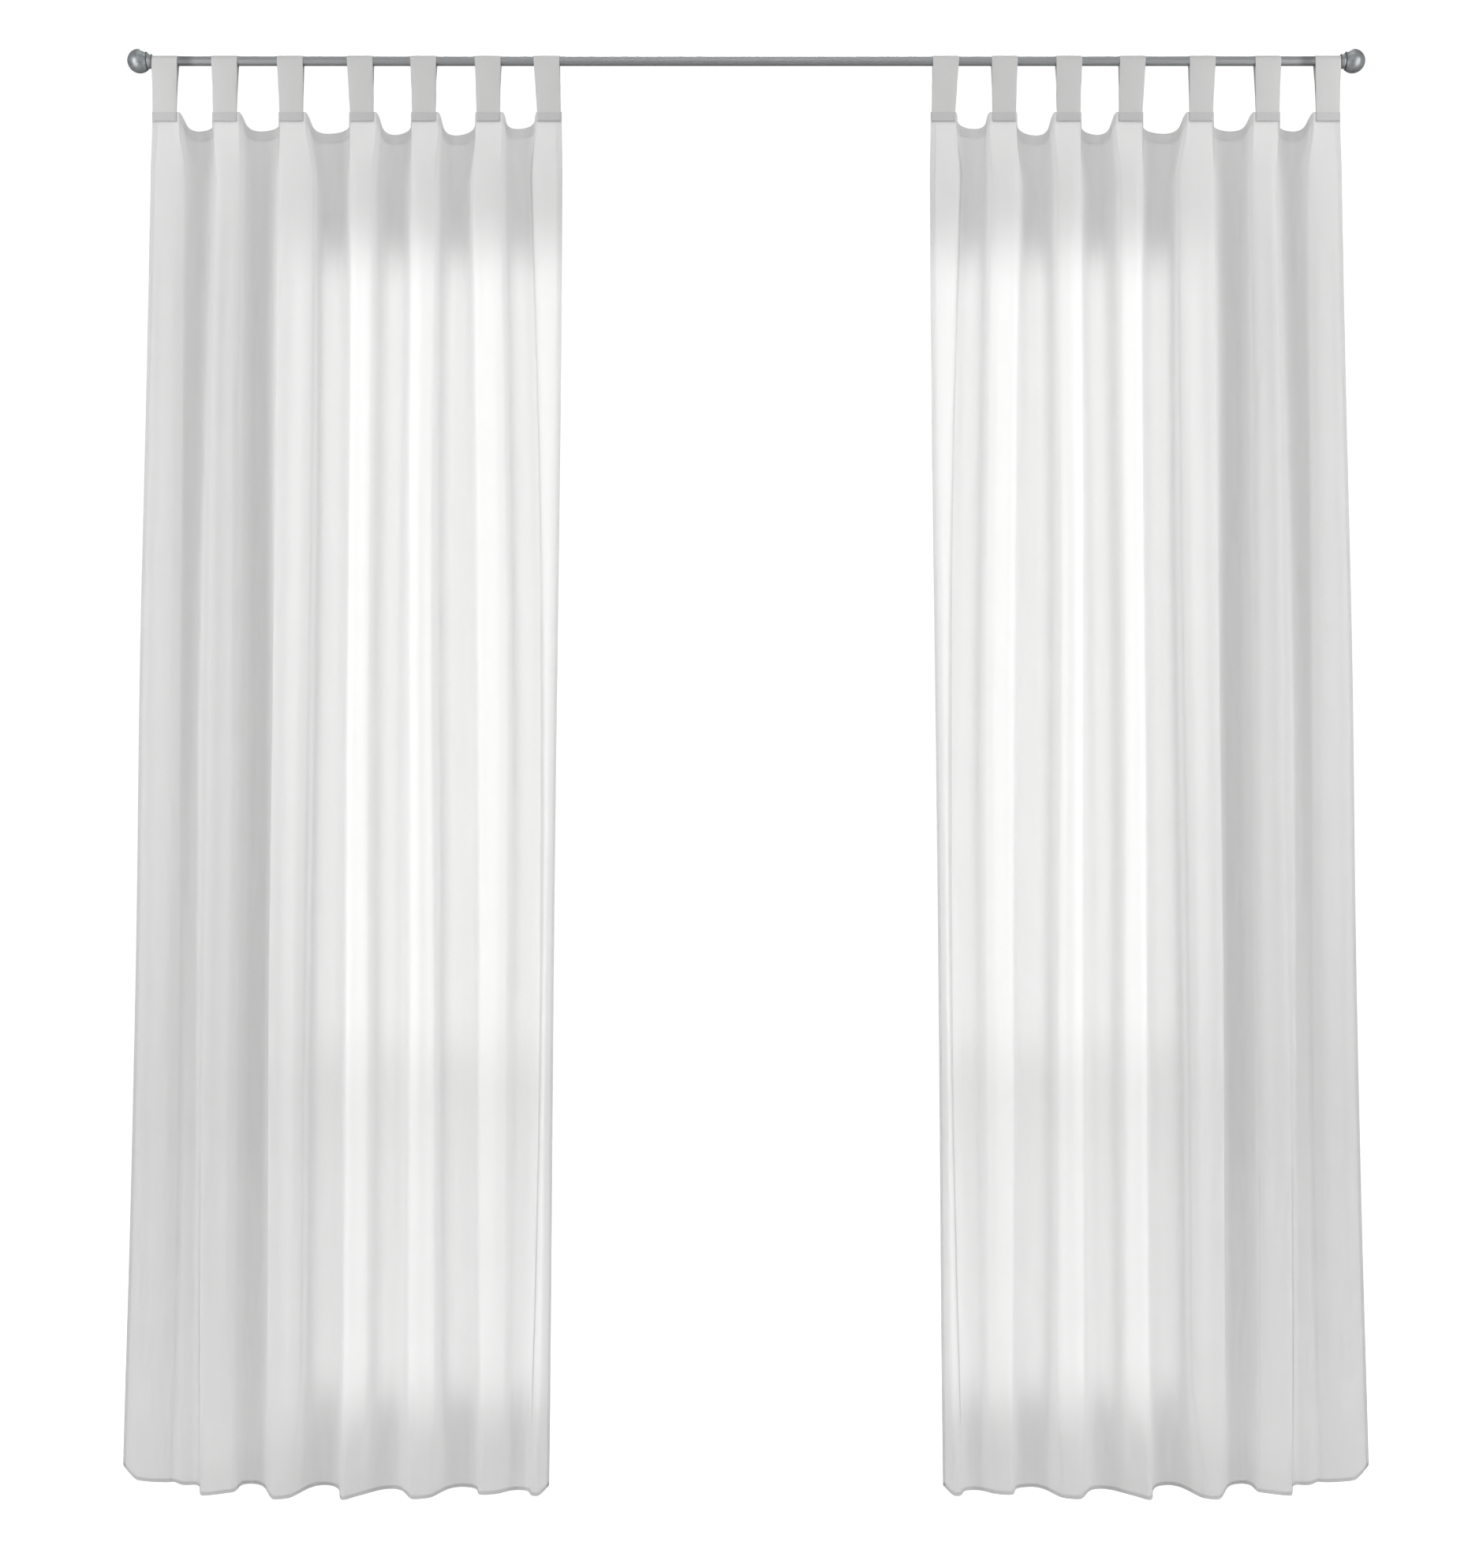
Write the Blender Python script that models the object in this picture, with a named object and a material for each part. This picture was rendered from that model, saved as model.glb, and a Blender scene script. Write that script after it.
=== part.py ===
"""A pair of sheer tab-top curtains hanging from one round rod with ball finials.

Metres, +Z up. The origin is on the rod's axis, midway between its ends. X runs
along the rod, -Y faces the room and the curtains hang down along -Z. The right
curtain is the left one mirrored, so every fold is written once, by its distance
from the middle of the rod.
"""
import math
from collections import namedtuple

import bmesh
import bpy
from mathutils import Matrix, Vector

# Driving dimensions of the rod and its finials
ROD_DIAMETER = 0.016
ROD_LENGTH = 2.019
ROD_SIDES = 32
SEAT_GAP = 0.0003
FINIAL_SIDES = 20
BALL_RADIUS = 0.020
BALL_CENTRE_FROM_SEAT = 0.0213
BALL_TIP_RINGS = 7

# Driving dimensions of the cloth
PANEL_THICKNESS = 0.0015
HEADING_DROP = 0.0865
HEM_DROP = 2.442
TAB_THICKNESS = 0.0012
TAB_GAP = 0.0004
TAB_WIDTH_AT_ROD = 0.044
TAB_WIDTH_AT_BASE = 0.040
TAB_OVERLAP = 0.016
TAB_ARC_STEPS = 11

# The stiff heading band stays straight for a little more than the tabs overlap it
HEADING_BAND = 0.020
SHOULDER_SHARE = 0.045
MIDDLE_SHARE = 0.47
OPENING_SHARE = 0.90
ROW_SHARES = (
    0.025, SHOULDER_SHARE, 0.14, 0.27, 0.40, 0.53, 0.66, 0.79, OPENING_SHARE, 0.96, 1.0)

# How a fold is rounded. Its walls lean under the pipe by this much, and lean the
# other way, opening, at the heading and at the hem
WALL_LEAN = 0.006
LEAN_AT_HEADING = -0.004
LEAN_AT_HEM = -0.005
CROWN_INSET = 0.009
CORNER_STEPS = 2
CROWN_STEPS = 1
SWAY = 0.0025

# Each tab: distance from the rod's middle, on the rod and where it is sewn on
Tab = namedtuple("Tab", "at_rod at_base")
TABS = (
    Tab(0.9868, 0.9880),
    Tab(0.8850, 0.8857),
    Tab(0.7738, 0.7729),
    Tab(0.6553, 0.6530),
    Tab(0.5477, 0.5477),
    Tab(0.4384, 0.4382),
    Tab(0.3388, 0.3351),
)

# The folds at one height, from the outer side hem to the inner one: distances from
# the rod's middle, and how far back of the rod's axis the cloth stands there
Edge = namedtuple("Edge", "across back")
Pipe = namedtuple("Pipe", "outer inner front")
Level = namedtuple("Level", "outer_edge pipes valleys inner_edge bow")
SHOULDER = Level(
    outer_edge=Edge(1.0125, 0.004),
    pipes=(
        Pipe(1.010, 0.949, 0.000),
        Pipe(0.909, 0.856, -0.002),
        Pipe(0.803, 0.736, -0.004),
        Pipe(0.682, 0.630, -0.002),
        Pipe(0.576, 0.523, -0.003),
        Pipe(0.473, 0.410, 0.000),
        Pipe(0.368, 0.316, 0.001),
    ),
    valleys=(0.066, 0.071, 0.076, 0.076, 0.076, 0.062),
    inner_edge=Edge(0.3130, 0.005),
    bow=0.007,
)
MIDDLE = Level(
    outer_edge=Edge(1.0405, 0.036),
    pipes=(
        Pipe(1.033, 0.962, 0.022),
        Pipe(0.928, 0.864, -0.004),
        Pipe(0.815, 0.744, -0.010),
        Pipe(0.686, 0.635, -0.003),
        Pipe(0.581, 0.527, -0.006),
        Pipe(0.465, 0.402, 0.002),
        Pipe(0.348, 0.328, 0.008),
    ),
    valleys=(0.064, 0.076, 0.075, 0.070, 0.073, 0.060),
    inner_edge=Edge(0.3240, 0.030),
    bow=0.007,
)
HEM = Level(
    outer_edge=Edge(1.0860, 0.098),
    pipes=(
        Pipe(1.066, 0.985, 0.070),
        Pipe(0.940, 0.872, 0.002),
        Pipe(0.822, 0.760, -0.006),
        Pipe(0.698, 0.640, 0.000),
        Pipe(0.583, 0.521, -0.004),
        Pipe(0.462, 0.407, 0.010),
        Pipe(0.371, 0.342, 0.008),
    ),
    valleys=(0.080, 0.080, 0.079, 0.060, 0.073, 0.040),
    inner_edge=Edge(0.3380, 0.044),
    bow=0.007,
)

# At the heading every pipe is a little wider than the tab that holds it
PIPE_MARGIN_AT_TAB = 0.027
HEADING_OUTER_EDGE = Edge(1.0090, 0.000)
HEADING_INNER_EDGE = Edge(0.3135, 0.000)
HEADING_VALLEYS = (0.068, 0.071, 0.078, 0.080, 0.080, 0.064)

# How far the heading sags after each pipe, and how far the hem rides up
Drop = namedtuple("Drop", "sag pipe_lift valley_lift")
DROPS = (
    Drop(0.012, 0.007, 0.006),
    Drop(0.011, 0.004, -0.001),
    Drop(0.013, 0.000, -0.003),
    Drop(0.014, 0.000, -0.003),
    Drop(0.015, 0.001, -0.004),
    Drop(0.009, 0.003, 0.001),
    Drop(0.000, 0.002, 0.008),
)
OUTER_CORNER_LIFT = 0.024

# Plain colours, as shares of red, green and blue light
CLOTH_COLOUR = (0.76, 0.76, 0.76)
TAB_COLOUR = (0.66, 0.66, 0.66)
ROD_COLOUR = (0.24, 0.24, 0.25)
FINIAL_COLOUR = (0.20, 0.22, 0.23)


def clear_scene():
    """Start from an empty scene."""
    for obj in list(bpy.data.objects):
        bpy.data.objects.remove(obj, do_unlink=True)


def make_material(name, colour, roughness, metallic=0.0):
    """One plain finish."""
    material = bpy.data.materials.new(name)
    material.use_nodes = True
    shader = material.node_tree.nodes["Principled BSDF"]
    shader.inputs["Base Color"].default_value = (*colour, 1.0)
    shader.inputs["Roughness"].default_value = roughness
    shader.inputs["Metallic"].default_value = metallic
    return material


def add_object(name, shape, material):
    """Turn a finished bmesh into a named, smooth-shaded object."""
    mesh = bpy.data.meshes.new(name)
    shape.to_mesh(mesh)
    shape.free()
    mesh.materials.append(material)
    mesh.shade_smooth()
    mesh.set_sharp_from_angle(angle=math.radians(50))
    obj = bpy.data.objects.new(name, mesh)
    bpy.context.collection.objects.link(obj)
    return obj


def add_thickness(obj, thickness):
    """Give a sheet its thickness, half to each side."""
    solidify = obj.modifiers.new("Thickness", "SOLIDIFY")
    solidify.thickness = thickness
    solidify.offset = 0.0
    solidify.use_even_offset = True
    return obj


def sheet_from_rows(rows):
    """Join rows of points, top to bottom, into one sheet."""
    shape = bmesh.new()
    grid = [[shape.verts.new(point) for point in row] for row in rows]
    for upper, lower in zip(grid, grid[1:]):
        for left in range(len(upper) - 1):
            shape.faces.new((upper[left], lower[left], lower[left + 1], upper[left + 1]))
    bmesh.ops.recalc_face_normals(shape, faces=shape.faces)
    return shape


# Rod and finials

def build_rod(material):
    """The plain round rod, along X."""
    shape = bmesh.new()
    bmesh.ops.create_cone(
        shape, cap_ends=True, segments=ROD_SIDES, radius1=ROD_DIAMETER / 2,
        radius2=ROD_DIAMETER / 2, depth=ROD_LENGTH,
        matrix=Matrix.Rotation(math.pi / 2, 4, "Y"))
    return add_object("rod", shape, material)


def finial_profile():
    """Radius against distance from the seat: neck, two rings, then the ball."""
    profile = [
        (0.0000, 0.0000),
        (0.0115, 0.0000),
        (0.0118, 0.0022),
        (0.0128, 0.0030),
        (0.0128, 0.0066),
        (0.0116, 0.0074),
        (0.0145, 0.0084),
        (0.0147, 0.0116),
    ]
    first_angle = math.radians(128)
    for step in range(BALL_TIP_RINGS):
        angle = first_angle * (1 - step / BALL_TIP_RINGS)
        radius = BALL_RADIUS * math.sin(angle)
        along = BALL_CENTRE_FROM_SEAT + BALL_RADIUS * math.cos(angle)
        profile.append((radius, along))
    profile.append((0.0, BALL_CENTRE_FROM_SEAT + BALL_RADIUS))
    return profile


def build_finial(name, side, material):
    """A turned finial whose neck meets the rod's end."""
    seat = ROD_LENGTH / 2 + SEAT_GAP
    shape = bmesh.new()
    verts = []
    for radius, along in finial_profile():
        verts.append(shape.verts.new((side * (seat + along), 0.0, radius)))
    edges = [shape.edges.new(pair) for pair in zip(verts, verts[1:])]
    bmesh.ops.spin(
        shape, geom=verts + edges, cent=(0, 0, 0), axis=(1, 0, 0),
        angle=2 * math.pi, steps=FINIAL_SIDES, use_merge=True)
    bmesh.ops.remove_doubles(shape, verts=shape.verts, dist=0.00001)
    bmesh.ops.recalc_face_normals(shape, faces=shape.faces)
    return add_object(name, shape, material)


# Tabs

def tab_profile():
    """The strip's middle line, seen from its side: up the front, over the rod, down the back."""
    layer_back = PANEL_THICKNESS / 2 + TAB_GAP + TAB_THICKNESS / 2
    loop_radius = ROD_DIAMETER / 2 + TAB_GAP + TAB_THICKNESS / 2
    reach = math.hypot(layer_back, HEADING_DROP)
    below = math.acos(loop_radius / reach) + math.atan2(layer_back, HEADING_DROP)
    first_angle = 1.5 * math.pi - below
    last_angle = below - 0.5 * math.pi
    profile = [(-layer_back, -HEADING_DROP - TAB_OVERLAP), (-layer_back, -HEADING_DROP)]
    for step in range(TAB_ARC_STEPS + 1):
        angle = first_angle + (last_angle - first_angle) * step / TAB_ARC_STEPS
        profile.append((loop_radius * math.cos(angle), loop_radius * math.sin(angle)))
    profile += [(layer_back, -HEADING_DROP), (layer_back, -HEADING_DROP - TAB_OVERLAP)]
    return profile


def build_tab(name, tab, side, material):
    """One strip folded over the rod and lapped over both faces of the heading."""
    rows = []
    for back, height in tab_profile():
        share = min(1.0, max(0.0, -height / HEADING_DROP))
        centre = tab.at_rod + (tab.at_base - tab.at_rod) * share
        half = (TAB_WIDTH_AT_ROD + (TAB_WIDTH_AT_BASE - TAB_WIDTH_AT_ROD) * share) / 2
        rows.append([
            Vector((side * (centre + half), back, height)),
            Vector((side * (centre - half), back, height)),
        ])
    return add_thickness(add_object(name, sheet_from_rows(rows), material), TAB_THICKNESS)


# Curtain panels

def band_share():
    """The share of the drop that the straight heading band takes."""
    return HEADING_BAND / (HEM_DROP - HEADING_DROP)


def heading_level():
    """The folds along the heading, each pipe behind its tab."""
    pipes = []
    for tab in TABS:
        outer = tab.at_base + PIPE_MARGIN_AT_TAB
        inner = tab.at_base - PIPE_MARGIN_AT_TAB
        pipes.append(Pipe(outer, inner, 0.0))
    return Level(HEADING_OUTER_EDGE, pipes, HEADING_VALLEYS, HEADING_INNER_EDGE, 0.0)


def wall_lean(share):
    """How far the pipes' sides lean under them at a share of the drop."""
    if share < SHOULDER_SHARE:
        part = max(0.0, share - band_share()) / (SHOULDER_SHARE - band_share())
        return LEAN_AT_HEADING + (WALL_LEAN - LEAN_AT_HEADING) * part
    part = max(0.0, share - OPENING_SHARE) / (1 - OPENING_SHARE)
    return WALL_LEAN + (LEAN_AT_HEM - WALL_LEAN) * part


def level_corners(level, lean):
    """The chain of corners that one level of the cloth is rounded from."""
    corners = [Vector(level.outer_edge)]
    for index, pipe in enumerate(level.pipes):
        if index > 0:
            valley = level.valleys[index - 1]
            corners.append(Vector((pipe.outer - lean, valley)))
            corners.append(Vector((pipe.outer + lean, pipe.front + level.bow)))
        corners.append(Vector((pipe.outer - CROWN_INSET, pipe.front)))
        corners.append(Vector((pipe.inner + CROWN_INSET, pipe.front)))
        if index < len(level.valleys):
            valley = level.valleys[index]
            corners.append(Vector((pipe.inner - lean, pipe.front + level.bow)))
            corners.append(Vector((pipe.inner + lean, valley)))
    corners.append(Vector(level.inner_edge))
    return corners


def corner_rises():
    """For each corner, how much higher than plain the heading and the hem are."""
    rises = []
    for index, drop in enumerate(DROPS):
        is_last = index == len(DROPS) - 1
        pipe = Vector((0.0, drop.pipe_lift))
        rises.append(Vector((0.0, OUTER_CORNER_LIFT)) if index == 0 else pipe)
        rises += [pipe, pipe]
        if is_last:
            rises.append(Vector((0.0, drop.valley_lift)))
        else:
            valley = Vector((-drop.sag, drop.valley_lift))
            rises += [pipe, valley, valley]
    return rises


def corner_step_counts():
    """Fewer steps on the pipes' fronts, where the cloth is nearly straight."""
    counts = []
    for index in range(len(TABS)):
        if index > 0:
            counts.append(CORNER_STEPS)
        counts += [CROWN_STEPS, CROWN_STEPS]
        if index < len(TABS) - 1:
            counts += [CORNER_STEPS, CORNER_STEPS, CORNER_STEPS]
    return counts


def round_corners(corners, step_counts):
    """A smooth line that touches the middle of every run between two corners."""
    line = [corners[0]]
    for index, steps in enumerate(step_counts, start=1):
        corner = corners[index]
        start = (corners[index - 1] + corner) / 2
        end = (corner + corners[index + 1]) / 2
        for step in range(steps):
            share = step / steps
            leaving = start.lerp(corner, share)
            arriving = corner.lerp(end, share)
            line.append(leaving.lerp(arriving, share))
    line.append((corners[-2] + corners[-1]) / 2)
    line.append(corners[-1])
    return line


def blend_levels(share, heading, shoulder, middle, hem):
    """The corners at a share of the drop: eased to the shoulder, then one curve to the hem."""
    if share <= band_share():
        return heading
    blended = []
    if share < SHOULDER_SHARE:
        part = (share - band_share()) / (SHOULDER_SHARE - band_share())
        ease = part * part * (3 - 2 * part)
        for upper, lower in zip(heading, shoulder):
            blended.append(upper.lerp(lower, ease))
        return blended
    run = (share - SHOULDER_SHARE) / (1 - SHOULDER_SHARE)
    turn = (MIDDLE_SHARE - SHOULDER_SHARE) / (1 - SHOULDER_SHARE)
    weight_top = (run - turn) * (run - 1) / turn
    weight_middle = run * (run - 1) / (turn * (turn - 1))
    weight_hem = run * (run - turn) / (1 - turn)
    for top, centre, bottom in zip(shoulder, middle, hem):
        blended.append(top * weight_top + centre * weight_middle + bottom * weight_hem)
    return blended


def swayed(corners, share):
    """Let the folds wander a little on their way down, each in its own rhythm."""
    amount = SWAY * math.sin(math.pi * share)
    moved = []
    for index, corner in enumerate(corners):
        phase = 1.7 * (index // 6)
        sideways = amount * math.sin(2 * math.pi * share + phase)
        forwards = amount * math.sin(3 * math.pi * share + 2 * phase)
        moved.append(corner + Vector((sideways, forwards)))
    return moved


def panel_rows(side):
    """The cloth's middle surface as rows of points, from the heading to the hem."""
    levels = (heading_level(), SHOULDER, MIDDLE, HEM)
    step_counts = corner_step_counts()
    rises = round_corners(corner_rises(), step_counts)
    length = HEM_DROP - HEADING_DROP
    rows = []
    for share in (0.0, band_share()) + ROW_SHARES:
        chains = [level_corners(level, wall_lean(share)) for level in levels]
        corners = swayed(blend_levels(share, *chains), share)
        line = round_corners(corners, step_counts)
        row = []
        for point, rise in zip(line, rises):
            top = -HEADING_DROP + rise.x
            bottom = -HEM_DROP + rise.y
            height = top + (bottom - top) * share
            row.append(Vector((side * point.x, point.y, height)))
        rows.append(row)
    return rows


def build_panel(name, side, material):
    """One sheer curtain panel, hanging in seven pipes."""
    shape = sheet_from_rows(panel_rows(side))
    return add_thickness(add_object(name, shape, material), PANEL_THICKNESS)


def build_all():
    """Make every piece, left side then right side."""
    clear_scene()
    build_rod(make_material("satin_steel", ROD_COLOUR, 0.35, 1.0))
    for word, side in (("left", -1), ("right", 1)):
        pewter = make_material("pewter_" + word, FINIAL_COLOUR, 0.45, 1.0)
        voile = make_material("voile_" + word, CLOTH_COLOUR, 0.9)
        build_finial("finial_" + word, side, pewter)
        build_panel("panel_" + word, side, voile)
        for number, tab in enumerate(TABS, start=1):
            name = f"tab_{word}_{number}"
            build_tab(name, tab, side, make_material("voile_" + name, TAB_COLOUR, 0.9))


build_all()
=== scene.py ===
import math
from collections import namedtuple

import bmesh
import bpy
from mathutils import Matrix, Vector, noise


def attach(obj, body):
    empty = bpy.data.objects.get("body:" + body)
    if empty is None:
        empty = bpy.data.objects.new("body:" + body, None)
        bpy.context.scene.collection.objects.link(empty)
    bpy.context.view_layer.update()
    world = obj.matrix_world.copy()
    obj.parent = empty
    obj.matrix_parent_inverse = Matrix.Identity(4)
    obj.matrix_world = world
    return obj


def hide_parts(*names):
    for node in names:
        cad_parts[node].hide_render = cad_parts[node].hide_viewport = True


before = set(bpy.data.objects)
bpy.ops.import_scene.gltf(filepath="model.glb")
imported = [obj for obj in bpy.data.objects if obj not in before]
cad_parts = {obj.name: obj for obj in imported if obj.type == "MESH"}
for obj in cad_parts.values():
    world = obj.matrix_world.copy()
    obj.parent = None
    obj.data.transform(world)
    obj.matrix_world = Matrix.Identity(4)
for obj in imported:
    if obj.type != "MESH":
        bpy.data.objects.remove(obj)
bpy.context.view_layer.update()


# The studio. The camera stands in front of the rod's plane, level with the middle of the
# curtains, and looks straight at them. Floor and background are plain and pale. The lights are
# broad and soft: one outside each curtain, two close behind it, and four round the rod.
METRES_PER_PIXEL = 0.00134
IMAGE_WIDTH, IMAGE_HEIGHT = 1861, 1988
ROD_MIDDLE_PIXEL = (946, 77.5)
CAMERA_DISTANCE = 3.7
SENSOR = 36.0
BACKGROUND_BRIGHTNESS = 1.04
AMBIENT_BRIGHTNESS = 0.18
FLOOR_HEIGHT = -2.472
FLOOR_RADIUS = 7.5
FLOOR_STEPS = 96
FLOOR_FADE = (2.6, 5.5)
FLOOR_COLOUR = "#c4c4c4"
SIDES = (("left", -1), ("right", 1))

# Each light's place and what it faces, its size and its power. The side ones are given for the
# right-hand curtain and mirrored for the left-hand one
Light = namedtuple("Light", "name place target width height watts spread_degrees")
SIDE_LIGHTS = (
    Light("key", (1.80, -1.10, -0.85), (0.85, 0.0, -0.95), 0.70, 2.30, 21.5, 180),
    Light("upper_glow", (0.515, 0.24, -0.998), (0.515, 0.0, -0.998), 0.49, 1.365, 2.75, 50),
    Light("lower_glow", (0.515, 0.24, -1.983), (0.515, 0.0, -1.983), 0.49, 0.605, 0.86, 50),
)
ROD_LIGHTS = (
    Light("front_fill", (0.0, -3.90, 0.30), (0.0, 0.0, -1.20), 2.60, 1.60, 11.0, 180),
    Light("tab_fill", (0.0, -0.90, 0.30), (0.0, 0.0, -0.05), 0.90, 0.08, 0.25, 60),
    Light("top_fill", (0.0, -0.50, 1.50), (0.0, 0.0, 0.0), 2.60, 0.70, 10.0, 180),
    Light("back_fill", (0.0, 0.60, 0.85), (0.0, 0.0, -0.03), 2.20, 0.10, 0.70, 18),
)


def linear(hex_colour):
    """An sRGB colour in hex, as the linear colour that a shader takes."""
    shares = [int(hex_colour[place:place + 2], 16) / 255 for place in (1, 3, 5)]
    curved = [s / 12.92 if s <= 0.04045 else ((s + 0.055) / 1.055) ** 2.4 for s in shares]
    return (*curved, 1.0)


def add_node(tree, kind, settings, inputs):
    """Add a node. An input takes a value, or the output of another node that it is linked to."""
    node = tree.nodes.new(kind)
    for name, value in settings.items():
        setattr(node, name, value)
    for socket, value in inputs.items():
        if isinstance(value, bpy.types.NodeSocket):
            tree.links.new(value, node.inputs[socket])
        else:
            node.inputs[socket].default_value = value
    return node


def new_material(name):
    """A material with an empty node tree."""
    material = bpy.data.materials.new(name)
    material.use_nodes = True
    material.node_tree.nodes.clear()
    return material, material.node_tree


def add_soft_light(name, light, side):
    """A broad rectangular light that faces its target. A side of -1 mirrors it to the left."""
    area = bpy.data.lights.new(name, "AREA")
    area.shape = "RECTANGLE"
    area.size = light.width
    area.size_y = light.height
    area.energy = light.watts
    area.spread = math.radians(light.spread_degrees)
    place = Vector((side * light.place[0], *light.place[1:]))
    target = Vector((side * light.target[0], *light.target[1:]))
    lamp = bpy.data.objects.new(name, area)
    lamp.location = place
    lamp.rotation_euler = (target - place).to_track_quat("-Z", "Y").to_euler()
    bpy.context.collection.objects.link(lamp)


camera = bpy.data.objects.new("camera", bpy.data.cameras.new("camera"))
camera.data.sensor_fit = "VERTICAL"
camera.data.sensor_height = SENSOR
camera.data.sensor_width = SENSOR
camera.data.lens = SENSOR * CAMERA_DISTANCE / (IMAGE_HEIGHT * METRES_PER_PIXEL)
camera.location = (
    (IMAGE_WIDTH / 2 - ROD_MIDDLE_PIXEL[0]) * METRES_PER_PIXEL,
    -CAMERA_DISTANCE,
    -(IMAGE_HEIGHT / 2 - ROD_MIDDLE_PIXEL[1]) * METRES_PER_PIXEL)
camera.rotation_euler = (math.pi / 2, 0, 0)
bpy.context.collection.objects.link(camera)
bpy.context.scene.camera = camera
bpy.context.scene.view_settings.view_transform = "Standard"

for word, side in SIDES:
    for light in SIDE_LIGHTS:
        add_soft_light(f"{light.name}_{word}", light, side)
for light in ROD_LIGHTS:
    add_soft_light(light.name, light, 1)

world = bpy.data.worlds.new("pale_room")
world.use_nodes = True
world.node_tree.nodes.clear()
bpy.context.scene.world = world
sight = add_node(world.node_tree, "ShaderNodeLightPath", {}, {})
brightness = add_node(
    world.node_tree, "ShaderNodeMapRange", {},
    {"Value": sight.outputs["Is Camera Ray"],
     "To Min": AMBIENT_BRIGHTNESS, "To Max": BACKGROUND_BRIGHTNESS})
air = add_node(
    world.node_tree, "ShaderNodeBackground", {},
    {"Color": (1, 1, 1, 1), "Strength": brightness.outputs["Result"]})
add_node(world.node_tree, "ShaderNodeOutputWorld", {}, {"Surface": air.outputs[0]})

# Seamless paper: it glows a little, so it stays pale, and it fades into the background
paper, tree = new_material("seamless_paper")
place = add_node(tree, "ShaderNodeTexCoord", {}, {})
from_middle = add_node(
    tree, "ShaderNodeVectorMath", {"operation": "LENGTH"}, {0: place.outputs["Object"]})
fade = add_node(
    tree, "ShaderNodeMapRange", {"interpolation_type": "SMOOTHSTEP"},
    {"Value": from_middle.outputs["Value"],
     "From Min": FLOOR_FADE[0], "From Max": FLOOR_FADE[1]})
matt = add_node(tree, "ShaderNodeBsdfDiffuse", {}, {"Color": linear(FLOOR_COLOUR)})
sight = add_node(tree, "ShaderNodeLightPath", {}, {})
glow = add_node(
    tree, "ShaderNodeEmission", {},
    {"Color": (1, 1, 1, 1), "Strength": sight.outputs["Is Camera Ray"]})
lit = add_node(tree, "ShaderNodeAddShader", {}, {0: matt.outputs[0], 1: glow.outputs[0]})
clear = add_node(tree, "ShaderNodeBsdfTransparent", {}, {})
floor_mix = add_node(
    tree, "ShaderNodeMixShader", {},
    {"Fac": fade.outputs["Result"], 1: lit.outputs[0], 2: clear.outputs[0]})
add_node(tree, "ShaderNodeOutputMaterial", {}, {"Surface": floor_mix.outputs[0]})

shape = bmesh.new()
bmesh.ops.create_circle(shape, cap_ends=True, segments=FLOOR_STEPS, radius=FLOOR_RADIUS)
floor_mesh = bpy.data.meshes.new("floor")
shape.to_mesh(floor_mesh)
shape.free()
floor_mesh.materials.append(paper)
floor = bpy.data.objects.new("floor", floor_mesh)
floor.location.z = FLOOR_HEIGHT
bpy.context.collection.objects.link(floor)


# The rod: a drawn steel tube, satin grey, with a wall under 1 mm and its ends broken by a small
# chamfer. It lies in the brackets' seats and the finials push into its open ends.
ROD_RADIUS = 0.008
ROD_LENGTH = 2.019
ROD_WALL = 0.0009
ROD_CHAMFER = 0.0003
TURNED_STEPS = 72
STEEL_COLOUR = "#a9abad"
# Painted shadow on the rod beside each outermost tab: its colour, place, reach and strength
ROD_SHADOW_COLOUR = "#626466"
ROD_SHADOW_MIDDLE = 0.953
ROD_SHADOW_CORE = 0.004
ROD_SHADOW_REACH = 0.020
ROD_SHADOW_STRENGTH = 0.55
DRAWN_LINES_PER_METRE = (30, 2500, 2500)


def add_piece(name, mesh, material, replaced):
    """Link a finished mesh as one piece of the object, standing for a node of the model."""
    mesh.materials.clear()
    mesh.materials.append(material)
    piece = bpy.data.objects.new(name, mesh)
    bpy.context.collection.objects.link(piece)
    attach(piece, "root")
    if replaced:
        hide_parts(replaced)
    return piece


def finished_mesh(name, shape):
    """The smooth mesh of a shape that needs no more work."""
    mesh = bpy.data.meshes.new(name)
    shape.to_mesh(mesh)
    shape.free()
    mesh.shade_smooth()
    return mesh


def turned_mesh(name, profile, closed, sharp_degrees):
    """Spin a profile of (distance along the rod, radius) points round the rod's axis."""
    shape = bmesh.new()
    points = [shape.verts.new((along, 0.0, radius)) for along, radius in profile]
    runs = list(zip(points, points[1:]))
    if closed:
        runs.append((points[-1], points[0]))
    edges = [shape.edges.new(run) for run in runs]
    bmesh.ops.spin(
        shape, geom=points + edges, cent=(0, 0, 0), axis=(1, 0, 0),
        angle=2 * math.pi, steps=TURNED_STEPS, use_merge=True)
    bmesh.ops.remove_doubles(shape, verts=shape.verts, dist=0.000001)
    bmesh.ops.recalc_face_normals(shape, faces=shape.faces)
    mesh = finished_mesh(name, shape)
    mesh.set_sharp_from_angle(angle=math.radians(sharp_degrees))
    return mesh


def rod_profile():
    """Outside of the tube from end to end, then back along its bore."""
    end = ROD_LENGTH / 2
    bore = ROD_RADIUS - ROD_WALL
    return [
        (-end, bore),
        (-end, ROD_RADIUS - ROD_CHAMFER),
        (-end + ROD_CHAMFER, ROD_RADIUS),
        (end - ROD_CHAMFER, ROD_RADIUS),
        (end, ROD_RADIUS - ROD_CHAMFER),
        (end, bore),
    ]
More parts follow.
